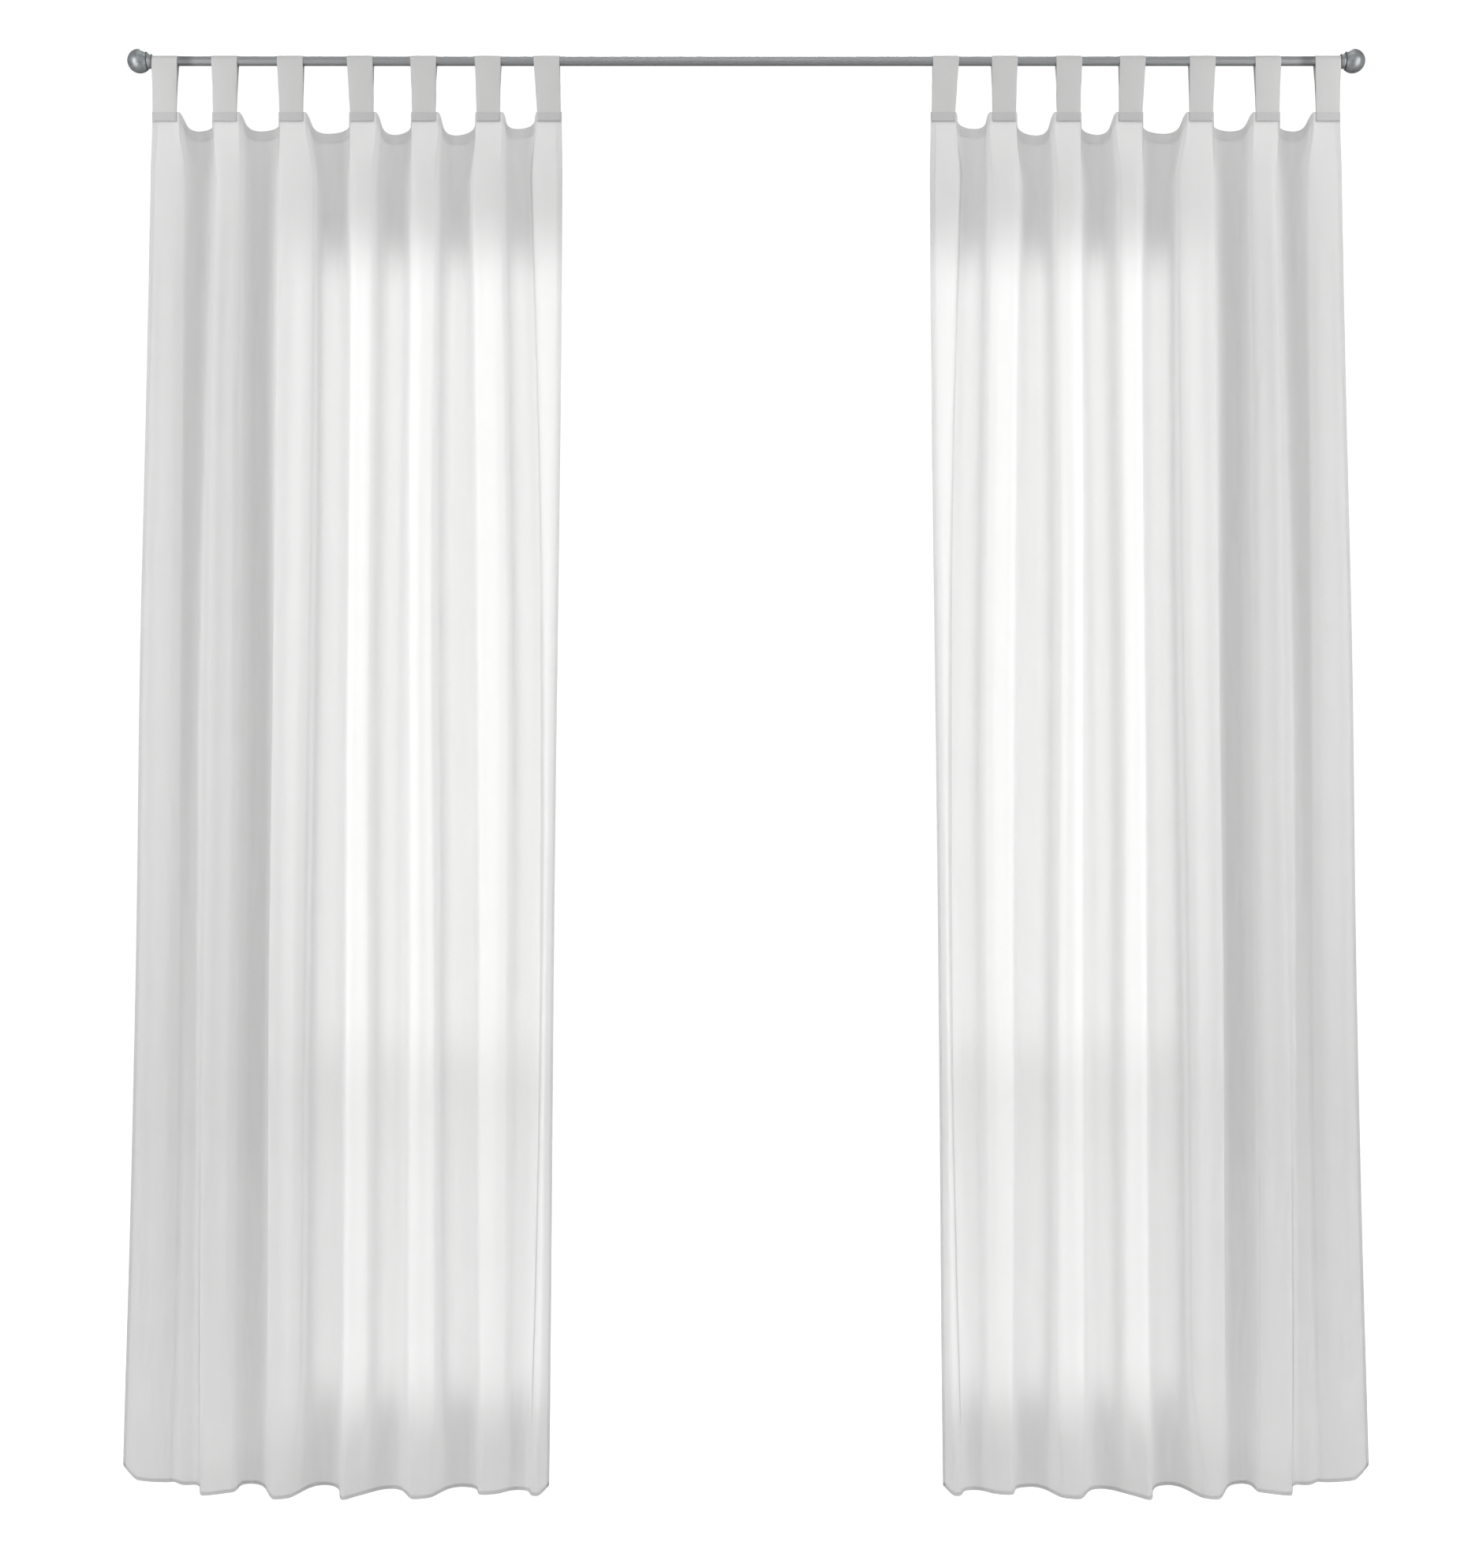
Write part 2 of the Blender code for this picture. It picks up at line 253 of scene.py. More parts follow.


# Drawn steel under a satin lacquer: an even grey metal whose fine drawing lines, about 0.4 mm
# apart, run along the tube and blur its highlight; a painted shadow, the shade at the bracket,
# darkens it softly beside each outermost tab
def satin_steel():
    material, tree = new_material("satin_steel")
    place = add_node(tree, "ShaderNodeTexCoord", {}, {})
    stretched = add_node(
        tree, "ShaderNodeMapping", {},
        {"Vector": place.outputs["Object"], "Scale": DRAWN_LINES_PER_METRE})
    lines = add_node(
        tree, "ShaderNodeTexNoise", {},
        {"Vector": stretched.outputs["Vector"], "Scale": 1.0, "Detail": 3.0})
    axes = add_node(
        tree, "ShaderNodeSeparateXYZ", {}, {"Vector": place.outputs["Object"]})
    from_middle = add_node(
        tree, "ShaderNodeMath", {"operation": "ABSOLUTE"}, {0: axes.outputs["X"]})
    # Painted shadow: the grey is mixed towards a darker one in a soft band near each end of the
    # rod
    off_shadow = add_node(
        tree, "ShaderNodeMath", {"operation": "SUBTRACT"},
        {0: from_middle.outputs[0], 1: ROD_SHADOW_MIDDLE})
    gap = add_node(tree, "ShaderNodeMath", {"operation": "ABSOLUTE"}, {0: off_shadow.outputs[0]})
    painted_shadow = add_node(
        tree, "ShaderNodeMapRange", {"interpolation_type": "SMOOTHSTEP"},
        {"Value": gap.outputs[0], "From Min": ROD_SHADOW_CORE, "From Max": ROD_SHADOW_REACH,
         "To Min": ROD_SHADOW_STRENGTH, "To Max": 0.0})
    steel = add_node(
        tree, "ShaderNodeMix", {"data_type": "RGBA"},
        {"Factor": painted_shadow.outputs["Result"],
         6: linear(STEEL_COLOUR), 7: linear(ROD_SHADOW_COLOUR)})
    roughness = add_node(
        tree, "ShaderNodeMapRange", {},
        {"Value": lines.outputs[0], "To Min": 0.52, "To Max": 0.64})
    bump = add_node(
        tree, "ShaderNodeBump", {},
        {"Strength": 0.15, "Distance": 0.00005, "Height": lines.outputs[0]})
    surface = add_node(
        tree, "ShaderNodeBsdfPrincipled", {},
        {"Base Color": steel.outputs[2], "Metallic": 0.75,
         "Roughness": roughness.outputs["Result"], "Normal": bump.outputs["Normal"]})
    add_node(tree, "ShaderNodeOutputMaterial", {}, {"Surface": surface.outputs[0]})
    return material


tube = turned_mesh("rod_tube", rod_profile(), True, 30)
add_piece("rod_tube", tube, satin_steel(), "rod")


# The finials: cast zinc balls with a turned neck and two rings, finished as dull pewter. Each
# one's spigot pushes into the end of the tube.
BALL_RADIUS = 0.020
BALL_CENTRE_FROM_SEAT = 0.0213
BALL_STEPS = 26
BALL_FIRST_DEGREES = 130
PEWTER_COLOUR = "#b6babb"
PEWTER_DARK_COLOUR = "#8b9092"
SPECKLES_PER_METRE = 900
RUBBED_PATCHES_PER_METRE = 110


def finial_profile():
    """Radius against distance from the seat: spigot, neck, two rings, groove, then the ball."""
    rings = [
        (-0.0080, 0.0000), (-0.0080, 0.0064), (-0.0074, 0.0069), (0.0000, 0.0069),
        (0.0000, 0.0112), (0.0002, 0.0115), (0.0012, 0.0117), (0.0019, 0.0117),
        (0.0023, 0.0119), (0.0027, 0.0125), (0.0033, 0.0128), (0.0048, 0.0130),
        (0.0062, 0.0128), (0.0067, 0.0124), (0.0071, 0.0116), (0.0075, 0.0114),
        (0.0079, 0.0117), (0.0082, 0.0137), (0.0087, 0.0144), (0.0098, 0.0147),
        (0.0108, 0.0145), (0.0113, 0.0141), (0.0115, 0.0134),
    ]
    for step in range(BALL_STEPS + 1):
        angle = math.radians(BALL_FIRST_DEGREES) * (1 - step / BALL_STEPS)
        along = BALL_CENTRE_FROM_SEAT + BALL_RADIUS * math.cos(angle)
        rings.append((along, max(0.0, BALL_RADIUS * math.sin(angle))))
    return rings


# Pewter finish on cast zinc: greenish grey, satin, with a fine speckle of about 1 mm left by
# the casting and rubbed darker in patches
def dull_pewter():
    material, tree = new_material("dull_pewter")
    place = add_node(tree, "ShaderNodeTexCoord", {}, {})
    speckle = add_node(
        tree, "ShaderNodeTexNoise", {},
        {"Vector": place.outputs["Object"], "Scale": SPECKLES_PER_METRE, "Detail": 4.0,
         "Roughness": 0.65})
    rubbed = add_node(
        tree, "ShaderNodeTexNoise", {},
        {"Vector": place.outputs["Object"], "Scale": RUBBED_PATCHES_PER_METRE, "Detail": 2.0})
    both = add_node(
        tree, "ShaderNodeMath", {"operation": "MULTIPLY"},
        {0: speckle.outputs[0], 1: rubbed.outputs[0]})
    share = add_node(
        tree, "ShaderNodeMapRange", {},
        {"Value": both.outputs[0], "From Min": 0.12, "From Max": 0.38})
    colour = add_node(
        tree, "ShaderNodeMix", {"data_type": "RGBA"},
        {"Factor": share.outputs["Result"],
         6: linear(PEWTER_DARK_COLOUR), 7: linear(PEWTER_COLOUR)})
    bump = add_node(
        tree, "ShaderNodeBump", {},
        {"Strength": 0.25, "Distance": 0.0001, "Height": speckle.outputs[0]})
    surface = add_node(
        tree, "ShaderNodeBsdfPrincipled", {},
        {"Base Color": colour.outputs[2], "Metallic": 0.55, "Roughness": 0.42,
         "Normal": bump.outputs["Normal"]})
    add_node(tree, "ShaderNodeOutputMaterial", {}, {"Surface": surface.outputs[0]})
    return material


pewter = dull_pewter()
for word, side in SIDES:
    seat = ROD_LENGTH / 2
    profile = [(side * (seat + along), radius) for along, radius in finial_profile()]
    ball = turned_mesh("finial_ball_" + word, profile, False, 35)
    add_piece("finial_ball_" + word, ball, pewter, "finial_" + word)


# The panels: two lengths of white polyester voile, each hanging in seven pipes from its tabs.
# Side hems and heading are turned to the back and sewn; the bottom hem is rolled narrow.
FLAT_WIDTH = 1.40
HEADING_DROP = 0.0865
HEM_DROP = 2.442
HEADING_BAND = 0.020
CORNERS_A_FOLD = 6
CORNER_STEPS = 10
SWAY = 0.0025
SWAY_SHIFT = 1.7
PANEL_LENGTH = HEM_DROP - HEADING_DROP

# Shares of the drop: the heading's turned band, where the folds have found their shape, the
# middle level, and where they begin to open towards the hem
BAND_SHARE = HEADING_BAND / PANEL_LENGTH
SHOULDER_SHARE = 0.045
MIDDLE_SHARE = 0.47
OPENING_SHARE = 0.90

# Each tab: distance from the rod's middle, on the rod and where it is sewn on
Tab = namedtuple("Tab", "at_rod at_base")
TABS = (
    Tab(0.9868, 0.9880), Tab(0.8850, 0.8857), Tab(0.7738, 0.7729), Tab(0.6553, 0.6530),
    Tab(0.5477, 0.5477), Tab(0.4384, 0.4382), Tab(0.3388, 0.3351),
)

# The folds at one height, from the outer side hem to the inner one: distances from the rod's
# middle, and how far back of the rod's axis the cloth stands there. The bow is how far back the
# front corners of a pipe's sides stand
Pipe = namedtuple("Pipe", "outer inner front")
Level = namedtuple("Level", "outer_edge pipes valleys inner_edge bow")
PIPE_MARGIN_AT_TAB = 0.027
HEADING = Level(
    (1.0090, 0.000),
    tuple(Pipe(t.at_base + PIPE_MARGIN_AT_TAB, t.at_base - PIPE_MARGIN_AT_TAB, 0) for t in TABS),
    (0.068, 0.071, 0.078, 0.080, 0.080, 0.064), (0.3135, 0.000), 0.0)
SHOULDER = Level(
    (1.0125, 0.004),
    (Pipe(1.010, 0.946, 0.000), Pipe(0.909, 0.856, -0.002), Pipe(0.803, 0.736, -0.004),
     Pipe(0.682, 0.630, -0.002), Pipe(0.576, 0.523, -0.003), Pipe(0.473, 0.410, 0.000),
     Pipe(0.368, 0.316, 0.001)),
    (0.050, 0.071, 0.076, 0.076, 0.076, 0.062), (0.3130, 0.005), 0.007)
MIDDLE = Level(
    (1.0405, 0.036),
    (Pipe(1.033, 0.957, 0.022), Pipe(0.928, 0.864, -0.004), Pipe(0.815, 0.744, -0.010),
     Pipe(0.686, 0.635, -0.003), Pipe(0.581, 0.527, -0.006), Pipe(0.465, 0.402, 0.002),
     Pipe(0.348, 0.328, 0.008)),
    (0.047, 0.076, 0.075, 0.070, 0.073, 0.060), (0.3240, 0.030), 0.007)
HEM = Level(
    (1.0860, 0.098),
    (Pipe(1.066, 0.985, 0.070), Pipe(0.940, 0.872, 0.002), Pipe(0.822, 0.760, -0.006),
     Pipe(0.698, 0.640, 0.000), Pipe(0.583, 0.521, -0.004), Pipe(0.462, 0.407, 0.010),
     Pipe(0.371, 0.342, 0.008)),
    (0.080, 0.080, 0.079, 0.060, 0.073, 0.040), (0.3380, 0.044), 0.007)

# A pipe's front is rounded off this far from its edges, or this share of its width if less
CROWN_INSET = 0.009
CROWN_SHARE = 0.3

# The form of each pipe and the valley after it. A side leans under its pipe, or opens where it is
# below zero; a front falls back and a valley comes forward towards the middle of the rod
Form = namedtuple("Form", "outer_lean inner_lean fall rise")
FORMS_AT_HEADING = (Form(-0.004, 0.001, 0.0, 0.0),) * len(TABS)
FORMS_BELOW = (
    Form(0.000, -0.005, 0.002, -0.004), Form(-0.008, 0.000, 0.005, 0.006),
    Form(-0.007, 0.005, 0.003, 0.004), Form(-0.007, -0.003, 0.004, 0.006),
    Form(-0.006, -0.003, 0.005, 0.006), Form(-0.005, -0.004, 0.005, 0.005),
    Form(0.003, 0.000, 0.001, 0.000),
)
FORMS_AT_HEM = (
    Form(0.000, -0.008, 0.004, -0.005), Form(-0.009, 0.003, 0.002, 0.002),
    Form(-0.014, -0.012, 0.002, 0.004), Form(-0.007, -0.016, 0.010, 0.002),
    Form(-0.010, -0.012, 0.002, 0.004), Form(-0.003, -0.010, 0.003, 0.002),
    Form(-0.002, 0.000, 0.001, 0.000),
)

# How far the heading sags after each pipe, and how far the hem rides up there. The corners that
# pull the heading down lie lower than the sag, because the rounded line stays above them
Drop = namedtuple("Drop", "sag outer_lift inner_lift valley_lift")
DROPS = (
    Drop(0.012, 0.009, 0.003, -0.003), Drop(0.011, 0.004, 0.008, -0.001),
    Drop(0.013, 0.000, 0.001, -0.003), Drop(0.014, 0.000, 0.000, -0.003),
    Drop(0.015, 0.000, 0.001, -0.004), Drop(0.009, 0.003, 0.003, 0.001),
    Drop(0.000, 0.001, 0.002, 0.008),
)
LOWEST_CORNER_SAGS = 1.3
RISING_CORNER_SAGS = 0.75

# The hem's outer corner rides up, and its last stretch is cut off at a slant
OUTER_CORNER_LIFT = 0.010
OUTER_CORNER_CUT = 0.016
OUTER_CORNER_WIDTH = 0.026

# A crease lies after a pipe's outer edge: at 0 to 1 across its front, at 1 to 2 across the
# valley behind it. It drifts from its place at the top to its place at the bottom, between two
# shares of the drop, and stands proud of the cloth or, below zero, sinks into it
Crease = namedtuple("Crease", "pipe top bottom start end width height")
CREASES = (
    Crease(1, 0.62, 0.66, 0.02, 0.98, 0.016, 0.0042),
    Crease(1, 0.28, 0.34, 0.03, 0.95, 0.012, -0.0024),
    Crease(1, 0.08, 0.18, 0.25, 1.00, 0.009, -0.0018),
    Crease(2, 0.45, 0.52, 0.02, 0.90, 0.011, -0.0026),
    Crease(2, 0.85, 0.82, 0.10, 1.00, 0.009, 0.0020),
    Crease(2, 1.50, 1.46, 0.02, 0.90, 0.012, 0.0022),
    Crease(3, 0.42, 0.46, 0.03, 0.97, 0.010, -0.0028),
    Crease(3, 0.72, 0.76, 0.15, 0.90, 0.013, 0.0026),
    Crease(3, 1.44, 1.52, 0.02, 0.75, 0.010, 0.0026),
    Crease(4, 0.45, 0.55, 0.04, 0.98, 0.010, -0.0020),
    Crease(4, 1.55, 1.48, 0.02, 0.92, 0.011, -0.0026),
    Crease(5, 0.36, 0.28, 0.03, 0.80, 0.010, 0.0022),
    Crease(5, 0.75, 0.68, 0.20, 1.00, 0.009, -0.0020),
    Crease(5, 1.52, 1.50, 0.02, 0.85, 0.010, 0.0026),
    Crease(6, 0.34, 0.26, 0.02, 0.70, 0.011, -0.0028),
    Crease(6, 0.66, 0.60, 0.10, 0.95, 0.012, 0.0024),
    Crease(6, 1.48, 1.55, 0.04, 0.90, 0.010, -0.0022),
    Crease(7, 0.45, 0.50, 0.30, 1.00, 0.012, 0.0012),
)
CREASE_FADE = 0.14
CREASE_REACH = 3

# A crease's place across, and which corner of its fold lies there
CREASE_STOPS = ((0.0, 0), (1.0, 1), (1.25, 2), (1.4, 3), (1.6, 4), (1.75, 5), (2.0, 6))

# Small ripples all over: their height, and how many lie in a metre
RIPPLE_HEIGHT = 0.0016
RIPPLES_ACROSS = 14.0
RIPPLES_DOWN = 1.6

# The rows of the sheet lie closer together near the heading and the hem
FINE_STEP = 0.004
UPPER_STEP = 0.0085
PLAIN_STEP = 0.0125
UPPER_ZONE = 0.14
HEM_ZONE = 0.012

# The hems: (distance from the edge, distance behind the face) from the raw end to the fold
SIDE_HEM = ((0.0095, 0.0005), (0.0070, 0.0005), (0.0040, 0.0005), (0.0012, 0.0005),
            (0.0002, 0.0004), (-0.0002, 0.0002))
TOP_HEM = ((0.0180, 0.0008), (0.0130, 0.0008), (0.0080, 0.0008), (0.0035, 0.0008),
           (0.0008, 0.0007), (-0.0002, 0.0004))
ROLLED_HEM = ((0.0003, 0.0012), (0.0030, 0.0012), (0.0056, 0.0011), (0.0062, 0.0009),
              (0.0056, 0.0006), (0.0030, 0.0006), (0.0006, 0.0006), (-0.0004, 0.0003))


def eased(share, start, end):
    """0 before start and 1 after end, with a smooth turn between them."""
    part = min(1.0, max(0.0, (share - start) / (end - start)))
    return part * part * (3 - 2 * part)


def fold_forms(share):
    """The form of every pipe at a share of the drop."""
    upper, lower, part = FORMS_AT_HEADING, FORMS_BELOW, eased(share, BAND_SHARE, SHOULDER_SHARE)
    if share > OPENING_SHARE:
        upper, lower, part = FORMS_BELOW, FORMS_AT_HEM, eased(share, OPENING_SHARE, 1.0)
    return [
        Form(*(a + (b - a) * part for a, b in zip(above, below)))
        for above, below in zip(upper, lower)]


def level_corners(level, forms):
    """The chain of corners that one level of the cloth is rounded from."""
    corners = [Vector(level.outer_edge)]
    for index, (pipe, form) in enumerate(zip(level.pipes, forms)):
        front = pipe.front - form.fall
        end = pipe.front + form.fall
        if index > 0:
            valley = level.valleys[index - 1] - forms[index - 1].rise
            corners.append(Vector((pipe.outer - form.outer_lean, valley)))
            corners.append(Vector((pipe.outer + form.outer_lean, front + level.bow)))
        outer_inset = inner_inset = min(CROWN_INSET, (pipe.outer - pipe.inner) * CROWN_SHARE)
        if level is not HEADING:
            outer_inset += max(0.0, -form.outer_lean)
            inner_inset += max(0.0, -form.inner_lean)
        corners.append(Vector((pipe.outer - outer_inset, front)))
        corners.append(Vector((pipe.inner + inner_inset, end)))
        if index < len(level.valleys):
            valley = level.valleys[index] + form.rise
            corners.append(Vector((pipe.inner - form.inner_lean, end + level.bow)))
            corners.append(Vector((pipe.inner + form.inner_lean, valley)))
    corners.append(Vector(level.inner_edge))
    return corners


def corner_rises():
    """For each corner, how much higher than plain the heading and the hem are."""
    rises = []
    for index, drop in enumerate(DROPS):
        outer = Vector((0.0, drop.outer_lift))
        inner = Vector((0.0, drop.inner_lift))
        lowest = Vector((-LOWEST_CORNER_SAGS * drop.sag, drop.valley_lift))
        rising = Vector((-RISING_CORNER_SAGS * drop.sag, drop.valley_lift))
        rises += [outer if index else Vector((0.0, OUTER_CORNER_LIFT)), outer, inner]
        rises += [rising] if index == len(DROPS) - 1 else [inner, lowest, rising]
    return rises


def turning_shares(corners):
    """For each corner, the steps round it, closer together where the cloth turns faster."""
    shares = []
    for before, corner, after in zip(corners, corners[1:], corners[2:]):
        inward = (corner - before).length
        outward = (after - corner).length
        steps = []
        for step in range(CORNER_STEPS):
            even = step / CORNER_STEPS
            turn = math.pi / 2 * even
            forward = inward * math.sin(turn)
            steps.append((even + forward / (forward + outward * math.cos(turn))) / 2)
        shares.append(steps)
    return shares


def round_corners(corners, steps_round):
    """A smooth line that touches the middle of every run between two corners."""
    line = [corners[0]]
    for before, corner, after, shares in zip(corners, corners[1:], corners[2:], steps_round):
        start = (before + corner) / 2
        end = (corner + after) / 2
        for share in shares:
            line.append(start.lerp(corner, share).lerp(corner.lerp(end, share), share))
    line.append((corners[-2] + corners[-1]) / 2)
    line.append(corners[-1])
    return line


def blend_levels(share):
    """The corners at a share of the drop: eased to the shoulder, then one curve to the hem."""
    forms = fold_forms(share)
    heading, shoulder, middle, hem = (
        level_corners(level, forms) for level in (HEADING, SHOULDER, MIDDLE, HEM))
    if share <= BAND_SHARE:
        return heading
    if share < SHOULDER_SHARE:
        ease = eased(share, BAND_SHARE, SHOULDER_SHARE)
        return [upper.lerp(lower, ease) for upper, lower in zip(heading, shoulder)]
    run = (share - SHOULDER_SHARE) / (1 - SHOULDER_SHARE)
    turn = (MIDDLE_SHARE - SHOULDER_SHARE) / (1 - SHOULDER_SHARE)
    at_top = (run - turn) * (run - 1) / turn
    at_middle = run * (run - 1) / (turn * (turn - 1))
    at_hem = run * (run - turn) / (1 - turn)
    return [a * at_top + b * at_middle + c * at_hem for a, b, c in zip(shoulder, middle, hem)]


def swayed(corners, share):
    """Let the folds wander a little on their way down, each in its own rhythm."""
    amount = SWAY * math.sin(math.pi * min(1.0, max(0.0, share)))
    moved = []
    for index, corner in enumerate(corners):
        phase = SWAY_SHIFT * (index // CORNERS_A_FOLD)
        sideways = amount * math.sin(2 * math.pi * share + phase)
        forwards = amount * math.sin(3 * math.pi * share + 2 * phase)
        moved.append(corner + Vector((sideways, forwards)))
    return moved


def distances_along(line):
    """How far along the line each of its points lies."""
    distances = [0.0]
    for before, after in zip(line, line[1:]):
        distances.append(distances[-1] + (after - before).length)
    return distances


STEPS_ROUND = turning_shares(blend_levels(MIDDLE_SHARE))


def cloth_line(share):
    """The cloth's points at a share of the drop, from the outer hem to the inner one."""
    return round_corners(swayed(blend_levels(share), share), STEPS_ROUND)


def way_back(before, after):
    """The direction from the cloth's face to its back, between two points of a line."""
    along = (after - before).normalized()
    return Vector((along.y, -along.x))


MIDDLE_DISTANCES = distances_along(cloth_line(MIDDLE_SHARE))
FLAT_PLACES = [d * FLAT_WIDTH / MIDDLE_DISTANCES[-1] for d in MIDDLE_DISTANCES]
CORNER_PLACES = [0.0] + FLAT_PLACES[1 + CORNER_STEPS // 2::CORNER_STEPS]
RISES = round_corners(corner_rises(), STEPS_ROUND)


def crease_place(pipe, across):
    """A crease's distance from the outer hem, measured on the flat cloth."""
    first = CORNERS_A_FOLD * (pipe - 1) + 1
    for (low, before), (high, after) in zip(CREASE_STOPS, CREASE_STOPS[1:]):
        if across <= high:
            start = CORNER_PLACES[first + before]
            end = CORNER_PLACES[first + after]
            return start + (end - start) * (across - low) / (high - low)


CREASE_PLACES = [
    (crease_place(crease.pipe, crease.top), crease_place(crease.pipe, crease.bottom), crease)
    for crease in CREASES]


def relief(flat_place, share):
    """How far creases and ripples lift the cloth towards the room at a point."""
    ripple = Vector((flat_place * RIPPLES_ACROSS, share * PANEL_LENGTH * RIPPLES_DOWN, 0.0))
    lift = RIPPLE_HEIGHT * noise.noise(ripple)
    for top, bottom, crease in CREASE_PLACES:
        off = (flat_place - top - (bottom - top) * share) / crease.width
        if abs(off) < CREASE_REACH and crease.start < share < crease.end:
            from_end = min(share - crease.start, crease.end - share)
            lift += crease.height * eased(from_end, 0.0, CREASE_FADE) * math.exp(-off * off)
    band = min(1.0, max(0.0, share) / SHOULDER_SHARE)
    return lift * band * band


def at_distance(line, distances, distance):
    """The point of a line at a distance along it, its place in the list, and the way back."""
    index = 1
    while distances[index] < distance:
        index += 1
    before, after = line[index - 1], line[index]
    run = distances[index] - distances[index - 1]
    share = (distance - distances[index - 1]) / run
    return before.lerp(after, share), index - 1 + share, way_back(before, after)


def spread(values, place):
    """A value between two entries of a list."""
    index = min(int(place), len(values) - 2)
    return values[index] + (values[index + 1] - values[index]) * (place - index)


def hung_point(point, back, behind, flat_place, rise, share):
    """A point of the cloth in its place, for the right-hand panel."""
    moved = point + back * (behind - relief(flat_place, share))
    top = -HEADING_DROP + rise.x
    cut = OUTER_CORNER_CUT * max(0.0, 1 - flat_place / OUTER_CORNER_WIDTH)
    bottom = -HEM_DROP + rise.y + cut
    return Vector((moved.x, moved.y, top + (bottom - top) * share))


def cloth_row(share, behind):
    """One row of the cloth with both side hems: points, and their places on the flat cloth."""
    line = cloth_line(share)
    distances = distances_along(line)
    ends = len(line) - 1
    row = []
    for index, point in enumerate(line):
        back = way_back(line[max(0, index - 1)], line[min(ends, index + 1)])
        row.append((
            hung_point(point, back, behind, FLAT_PLACES[index], RISES[index], share),
            distances[index] * FLAT_WIDTH / distances[-1]))
    outer, inner = [], []
    for from_edge, layer in SIDE_HEM:
        point, place, back = at_distance(line, distances, max(0.0, from_edge))
        point = point + (line[0] - line[1]).normalized() * max(0.0, -from_edge)
        outer.append((
            hung_point(point, back, behind + layer, from_edge, spread(RISES, place), share),
            -from_edge))
        point, place, back = at_distance(line, distances, distances[-1] - max(0.0, from_edge))
        point = point + (line[-1] - line[-2]).normalized() * max(0.0, -from_edge)
        inner.append((
            hung_point(
                point, back, behind + layer, FLAT_WIDTH - from_edge, spread(RISES, place), share),
            FLAT_WIDTH + from_edge))
    return outer + row + inner[::-1]


def row_places():
    """Every row's distance below the heading's edge, how far behind the face it lies, and its
    place on the flat cloth, from the heading's turned hem to the rolled bottom one."""
    rows = [(below, behind, -below) for below, behind in TOP_HEM]
    below = 0.0
    while below < PANEL_LENGTH - FINE_STEP:
        rows.append((below, 0.0, below))
        if below < HEADING_BAND or below > PANEL_LENGTH - HEM_ZONE:
            below += FINE_STEP
        else:
            below += UPPER_STEP if below < UPPER_ZONE else PLAIN_STEP
    for above, behind in ((FINE_STEP, 0.0), (FINE_STEP / 4, 0.0)) + ROLLED_HEM[::-1]:
        flat = PANEL_LENGTH - above if behind == 0.0 else PANEL_LENGTH + abs(above) + behind
        rows.append((PANEL_LENGTH - above, behind, flat))
    return rows


def sheet_mesh(name, rows, side):
    """A smooth sheet through rows of (point, flat place across, flat place down)."""
    across, down = len(rows[0]), len(rows)
    shape = bmesh.new()
    bmesh.ops.create_grid(
        shape, x_segments=across - 1, y_segments=down - 1, size=1.0, calc_uvs=True)
    flat_map = shape.loops.layers.uv.verify()
    flat_of = {}
    for vert in shape.verts:
        column = round((vert.co.x + 1) / 2 * (across - 1))
        row = round((1 - vert.co.y) / 2 * (down - 1))
        point, flat_across, flat_down = rows[row][column]
        flat_of[vert.index] = (flat_across, -flat_down)
        vert.co = (side * point.x, point.y, point.z)
    for face in shape.faces:
        for loop in face.loops:
            loop[flat_map].uv = flat_of[loop.vert.index]
    shape.normal_update()
    middle = rows[down // 2][across // 2][0]
    nearest = min(shape.faces, key=lambda f: (f.calc_center_median() - Vector(
        (side * middle.x, middle.y, middle.z))).length)
    if nearest.normal.y > 0:
        bmesh.ops.reverse_faces(shape, faces=shape.faces)
    return finished_mesh(name, shape)


# Polyester voile: a plain weave of fine hard-twisted threads, about 0.35 mm apart, with open
# gaps between them, so light and background show through. The weave is drawn at 0.8 mm, the
# finest that a close view shows, and slubs up to 100 mm long make faint uneven streaks.
VOILE_COLOURS = ("#f2f2f1", "#e6e6e6")
THREAD_SPACING = 0.0008
GAP_EDGE_START = THREAD_SPACING * 0.12
GAP_EDGE_END = THREAD_SPACING * 0.36
SLUB_WIDTH = 0.0016
SLUB_LENGTH = 0.090
SLUB_RANGE = {"From Min": 0.45, "From Max": 1.05}
UNEVENNESS = 0.05

# A tab's whole length over the rod, and the painted shade where its ends are sewn over the
# heading
TAB_LENGTH = 0.232
OVERLAP_SHADE_COLOUR = "#e6e6e6"
OVERLAP_SHADE_EDGE = 0.001


